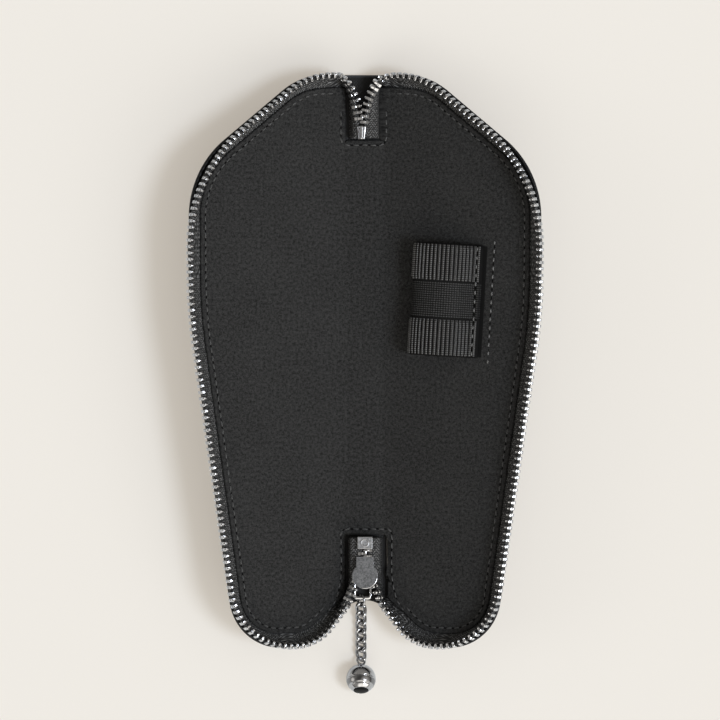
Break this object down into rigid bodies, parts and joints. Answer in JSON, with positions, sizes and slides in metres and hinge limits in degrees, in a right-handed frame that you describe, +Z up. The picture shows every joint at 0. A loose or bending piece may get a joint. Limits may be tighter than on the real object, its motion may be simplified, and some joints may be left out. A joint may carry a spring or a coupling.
{
  "type": "pen case",
  "caption": "Zip-round leather case for one fountain pen, lying open on its spine, with an elastic pen loop and a chain pull ending in a ball.",
  "frame": {"origin": "middle of the underside of the spine, on which the open case rests", "axes": "+Z up out of the open case, +Y along the spine towards the head end with the zip's end clip, -Y towards the slider and the ball, X across the two halves with the pen loop on the +X half"},
  "size_m": [0.1068, 0.1866, 0.0263],
  "materials": {
    "outer_leather": "fine cross-grained black leather, satin",
    "stiffening_board": "grey board, hidden between leather and lining",
    "lining": "matt black fine-grained lining",
    "zip_tape": "black woven tape",
    "zip_teeth": "polished nickel-plated",
    "zip_fittings": "polished nickel-plated",
    "slider_metal": "satin nickel-plated",
    "bail_metal": "polished nickel-plated",
    "chain_metal": "polished nickel-plated",
    "ball_metal": "mirror polished",
    "ball_inset": "black gloss",
    "elastic": "black ribbed elastic",
    "thread": "black sewing thread"
  },
  "bodies": {
    "spine": {"outer_spine": "outer_leather", "board_spine": "stiffening_board", "lining_spine": "lining", "zip_tape_head_left": "zip_tape", "zip_tape_head_right": "zip_tape", "zip_tape_foot_left": "zip_tape", "zip_tape_foot_right": "zip_tape", "zip_teeth_head_left": "zip_teeth", "zip_teeth_head_right": "zip_teeth", "zip_teeth_foot_left": "zip_teeth", "zip_teeth_foot_right": "zip_teeth", "zip_end_clip": "zip_fittings", "zip_retaining_box": "zip_fittings"},
    "left_half": {"outer_left": "outer_leather", "board_left": "stiffening_board", "lining_left": "lining", "zip_tape_left": "zip_tape", "zip_teeth_left": "zip_teeth", "edge_stitches_left": "thread"},
    "right_half": {"outer_right": "outer_leather", "board_right": "stiffening_board", "lining_right": "lining", "zip_tape_right": "zip_tape", "zip_teeth_right": "zip_teeth", "edge_stitches_right": "thread", "pen_loop": "elastic", "loop_stitches": "thread"},
    "slider": {"slider_body": "slider_metal"},
    "bail": {"pull_bail": "bail_metal"},
    "link_1": {"chain_link_1": "chain_metal"},
    "link_2": {"chain_link_2": "chain_metal"},
    "link_3": {"chain_link_3": "chain_metal"},
    "link_4": {"chain_link_4": "chain_metal"},
    "link_5": {"chain_link_5": "chain_metal"},
    "link_6": {"chain_link_6": "chain_metal"},
    "link_7": {"chain_link_7": "chain_metal"},
    "ball": {"ball_shell": "ball_metal", "ball_inset": "ball_inset", "ball_eye": "ball_metal"}
  },
  "joints": [
    {"name": "fold_left", "type": "hinge", "parent": "spine", "child": "left_half", "pos_m": [-0.006, 0, 0.0025], "axis": [0, 1, 0], "range_deg": [0, 70], "deforming": ["zip_tape_head_left", "zip_tape_foot_left", "zip_teeth_head_left", "zip_teeth_foot_left"]},
    {"name": "fold_right", "type": "hinge", "parent": "spine", "child": "right_half", "pos_m": [0.006, 0, 0.0025], "axis": [0, -1, 0], "range_deg": [0, 70], "deforming": ["zip_tape_head_right", "zip_tape_foot_right", "zip_teeth_head_right", "zip_teeth_foot_right"]},
    {"name": "slider_run", "type": "slide", "parent": "spine", "child": "slider", "axis": [0, -1, 0], "range_m": [0, 0.003], "deforming": ["zip_tape_foot_left", "zip_tape_foot_right", "zip_teeth_foot_left", "zip_teeth_foot_right"]},
    {"name": "bail_swing", "type": "hinge", "parent": "slider", "child": "bail", "pos_m": [-0.0007, -0.06515, 0.00345], "axis": [1, 0, 0], "range_deg": [-8, 1.5]},
    {"name": "chain_1", "type": "hinge", "parent": "bail", "child": "link_1", "pos_m": [-0.0012, -0.07101, 0.00356], "axis": [1, 0, 0], "range_deg": [-8, 3]},
    {"name": "chain_2", "type": "hinge", "parent": "link_1", "child": "link_2", "pos_m": [-0.0012, -0.07368, 0.003], "axis": [0, -0.2079, 0.9781], "range_deg": [-12, 12]},
    {"name": "chain_3", "type": "hinge", "parent": "link_2", "child": "link_3", "pos_m": [-0.0012, -0.07625, 0.00206], "axis": [1, 0, 0], "range_deg": [-15, 3]},
    {"name": "chain_4", "type": "hinge", "parent": "link_3", "child": "link_4", "pos_m": [-0.0012, -0.07884, 0.00122], "axis": [0, 0.309, -0.9511], "range_deg": [-12, 12]},
    {"name": "chain_5", "type": "hinge", "parent": "link_4", "child": "link_5", "pos_m": [-0.0012, -0.08157, 0.00112], "axis": [1, 0, 0], "range_deg": [-15, 3]},
    {"name": "chain_6", "type": "hinge", "parent": "link_5", "child": "link_6", "pos_m": [-0.0012, -0.0843, 0.00112], "axis": [0, 0, 1], "range_deg": [-12, 12]},
    {"name": "chain_7", "type": "hinge", "parent": "link_6", "child": "link_7", "pos_m": [-0.0012, -0.08703, 0.00112], "axis": [1, 0, 0], "range_deg": [-15, 3]},
    {"name": "ball_swing", "type": "hinge", "parent": "link_7", "child": "ball", "pos_m": [-0.0012, -0.08976, 0.00112], "axis": [0, 0, 1], "range_deg": [-8, 5]}
  ]
}
